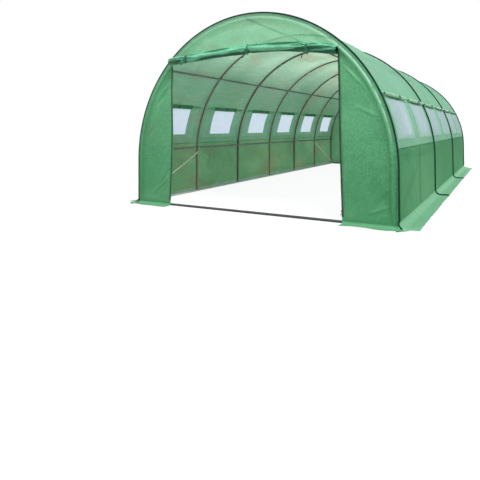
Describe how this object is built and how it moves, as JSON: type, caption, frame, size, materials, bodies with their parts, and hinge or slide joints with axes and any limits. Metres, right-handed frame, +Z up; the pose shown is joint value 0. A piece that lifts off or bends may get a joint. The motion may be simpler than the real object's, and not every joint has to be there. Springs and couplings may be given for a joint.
{
  "type": "polytunnel greenhouse",
  "caption": "Walk-in garden polytunnel: bent steel hoops and rails under a green woven sheet cover, with roll-up door, screened side windows and ground skirts.",
  "frame": {"origin": "on the ground under the middle of the tunnel", "axes": "+Z up, the doorway faces -Y, +X to the right of someone facing the doorway"},
  "size_m": [3.34, 6.22, 2.0101],
  "materials": {
    "hoop_steel": "satin galvanised tube, dull",
    "rail_steel": "satin galvanised tube",
    "base_steel": "satin galvanised tube",
    "brace_steel": "satin galvanised tube",
    "cover_sheet": "woven polyethylene, slightly glossy, lets light through",
    "skirt_sheet": "woven polyethylene",
    "rolled_sheet": "rolled woven polyethylene, glossy",
    "window_mesh": "pale fine mesh",
    "dark_trim": "dark woven tape"
  },
  "bodies": {
    "root": {"base_rail_left": "base_steel", "base_rail_right": "base_steel", "door_roll": "rolled_sheet", "door_ties": "dark_trim", "door_zips": "dark_trim", "front_brace_left": "brace_steel", "front_brace_right": "brace_steel", "front_gable": "cover_sheet", "front_panel_left": "cover_sheet", "front_panel_right": "cover_sheet", "front_sill_bar": "base_steel", "front_skirt_left": "skirt_sheet", "front_skirt_right": "skirt_sheet", "hoop_1": "hoop_steel", "hoop_2": "hoop_steel", "hoop_3": "hoop_steel", "hoop_4": "hoop_steel", "hoop_5": "hoop_steel", "hoop_6": "hoop_steel", "hoop_7": "hoop_steel", "rear_brace_left": "brace_steel", "rear_brace_right": "brace_steel", "rear_sill_bar": "base_steel", "rear_skirt": "skirt_sheet", "rear_wall": "cover_sheet", "ridge_rail": "rail_steel", "roof_sheet_1": "cover_sheet", "roof_sheet_2": "cover_sheet", "roof_sheet_3": "cover_sheet", "seam_piping": "dark_trim", "shoulder_rail_left": "rail_steel", "shoulder_rail_right": "rail_steel", "side_skirt_left": "skirt_sheet", "side_skirt_right": "skirt_sheet", "side_wall_left": "cover_sheet", "side_wall_right": "cover_sheet", "waist_rail_left": "rail_steel", "waist_rail_right": "rail_steel", "window_band_left": "cover_sheet", "window_band_right": "cover_sheet", "window_rolls_left": "rolled_sheet", "window_rolls_right": "rolled_sheet", "window_screens_left": "window_mesh", "window_screens_right": "window_mesh", "window_ties_left": "dark_trim", "window_ties_right": "dark_trim"}
  },
  "joints": []
}
